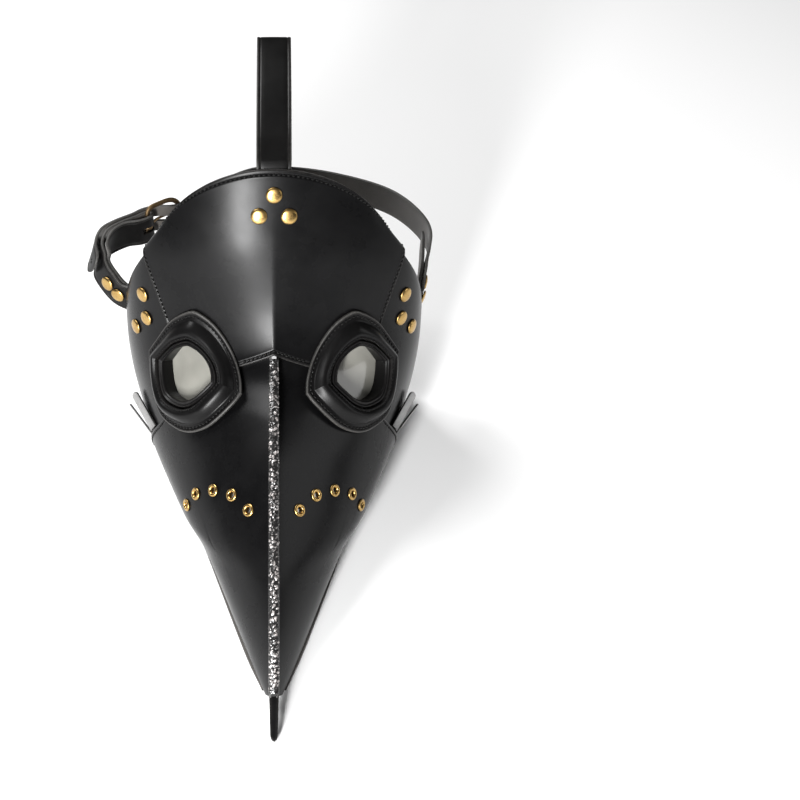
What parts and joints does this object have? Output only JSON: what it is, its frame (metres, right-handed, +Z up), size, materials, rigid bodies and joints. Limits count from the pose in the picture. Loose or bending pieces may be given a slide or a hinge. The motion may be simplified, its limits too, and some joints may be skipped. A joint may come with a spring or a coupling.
{
  "type": "plague doctor mask",
  "caption": "Long-beaked leather mask of lapped, stitched panels with leaf-shaped eye domes, side gill flaps, a buckled headband and a crown strap.",
  "frame": {"origin": "on the centre plane, on the flat underside of the beak, 125 mm behind the beak's tip", "axes": "+X to the right when facing the mask, the beak points along -Y, +Z up, as it lies on a table"},
  "size_m": [0.2328, 0.382, 0.2635],
  "materials": {
    "leather": "black, waxed, satin, fine grain",
    "strap_leather": "black strap leather, satin",
    "raw_edge": "raw fibrous cut edge, silvery on black",
    "felt": "matte packing inside the eye dome",
    "brass": "polished, lightly tarnished",
    "bronze": "antique bronze, worn",
    "lens": "pale grey, smooth"
  },
  "bodies": {
    "mask": {"forehead_panel": "leather", "left_cheek_panel": "leather", "left_beak_panel": "leather", "left_eye_dome": "leather", "left_eye_pad": "felt", "left_eye_rim": "leather", "left_lens": "lens", "left_lens_retainer": "leather", "left_eyelet_1": "brass", "left_eyelet_2": "brass", "left_eyelet_3": "brass", "left_eyelet_4": "brass", "left_eyelet_5": "brass", "left_temple_rivet_1": "brass", "left_temple_rivet_2": "brass", "left_temple_rivet_3": "brass", "left_strap_rivet_1": "brass", "left_strap_rivet_2": "brass", "left_outer_tab": "strap_leather", "right_cheek_panel": "leather", "right_beak_panel": "leather", "right_eye_dome": "leather", "right_eye_pad": "felt", "right_eye_rim": "leather", "right_lens": "lens", "right_lens_retainer": "leather", "right_eyelet_1": "brass", "right_eyelet_2": "brass", "right_eyelet_3": "brass", "right_eyelet_4": "brass", "right_eyelet_5": "brass", "right_temple_rivet_1": "brass", "right_temple_rivet_2": "brass", "right_temple_rivet_3": "brass", "right_strap_rivet_1": "brass", "right_strap_rivet_2": "brass", "right_outer_tab": "strap_leather", "ridge_welt": "raw_edge", "beak_underside_panel": "leather", "beak_tip_tab": "leather", "forehead_rivet_top": "brass", "forehead_rivet_left": "brass", "forehead_rivet_right": "brass", "left_inner_tab": "strap_leather", "right_backing_tab": "strap_leather", "crown_strap_anchor": "strap_leather"},
    "left_gill_1": {"left_gill_flap_1": "leather"},
    "left_gill_2": {"left_gill_flap_2": "leather"},
    "left_gill_3": {"left_gill_flap_3": "leather"},
    "right_gill_1": {"right_gill_flap_1": "leather"},
    "right_gill_2": {"right_gill_flap_2": "leather"},
    "right_gill_3": {"right_gill_flap_3": "leather"},
    "headband": {"long_strap": "strap_leather", "short_strap": "strap_leather"},
    "crown_front": {"crown_strap_front": "strap_leather"},
    "crown_back": {"crown_strap_back": "strap_leather"},
    "buckle_frame": {"buckle_frame": "bronze"},
    "buckle_prong": {"buckle_prong": "bronze"}
  },
  "joints": [
    {"name": "headband_swing", "type": "hinge", "parent": "mask", "child": "headband", "pos_m": [0, 0.169, 0.116], "axis": [1, 0, 0], "range_deg": [-6, 6], "stiffness_Nm_per_rad": 3},
    {"name": "crown_root_flex", "type": "hinge", "parent": "mask", "child": "crown_front", "pos_m": [0, 0.1292, 0.2296], "axis": [1, 0, 0], "range_deg": [-7, 7], "stiffness_Nm_per_rad": 0.3},
    {"name": "crown_fold_flex", "type": "hinge", "parent": "crown_front", "child": "crown_back", "pos_m": [0, 0.2124, 0.2626], "axis": [1, 0, 0], "range_deg": [-6, 6], "stiffness_Nm_per_rad": 0.2},
    {"name": "buckle_frame_pivot", "type": "hinge", "parent": "headband", "child": "buckle_frame", "pos_m": [-0.086, 0.202, 0.126], "axis": [0, 0, 1], "range_deg": [0, 10]},
    {"name": "buckle_prong_pivot", "type": "hinge", "parent": "buckle_frame", "child": "buckle_prong", "pos_m": [-0.086, 0.202, 0.126], "axis": [0, 0, 1], "range_deg": [0, 60]},
    {"name": "left_gill_1_flex", "type": "hinge", "parent": "mask", "child": "left_gill_1", "pos_m": [-0.08052, 0.09263, 0.04094], "axis": [0.2329, -0.4905, 0.8397], "range_deg": [-3, 20], "stiffness_Nm_per_rad": 0.006},
    {"name": "left_gill_2_flex", "type": "hinge", "parent": "mask", "child": "left_gill_2", "pos_m": [-0.08217, 0.10187, 0.02418], "axis": [-0.1139, -0.4329, 0.8942], "range_deg": [-3, 20], "stiffness_Nm_per_rad": 0.006},
    {"name": "left_gill_3_flex", "type": "hinge", "parent": "mask", "child": "left_gill_3", "pos_m": [-0.07851, 0.10656, 0.01206], "axis": [-0.4492, -0.2262, 0.8643], "range_deg": [-3, 20], "stiffness_Nm_per_rad": 0.006},
    {"name": "right_gill_1_flex", "type": "hinge", "parent": "mask", "child": "right_gill_1", "pos_m": [0.08052, 0.09263, 0.04094], "axis": [0.2329, 0.4905, -0.8397], "range_deg": [-3, 20], "stiffness_Nm_per_rad": 0.006},
    {"name": "right_gill_2_flex", "type": "hinge", "parent": "mask", "child": "right_gill_2", "pos_m": [0.08217, 0.10187, 0.02418], "axis": [-0.1139, 0.4329, -0.8942], "range_deg": [-3, 20], "stiffness_Nm_per_rad": 0.006},
    {"name": "right_gill_3_flex", "type": "hinge", "parent": "mask", "child": "right_gill_3", "pos_m": [0.07851, 0.10656, 0.01206], "axis": [-0.4492, 0.2262, -0.8643], "range_deg": [-3, 20], "stiffness_Nm_per_rad": 0.006}
  ],
  "couplings": [
    {"joint": "crown_root_flex", "follows": "headband_swing", "ratio": 0.962},
    {"joint": "crown_fold_flex", "follows": "headband_swing", "ratio": -0.803}
  ]
}
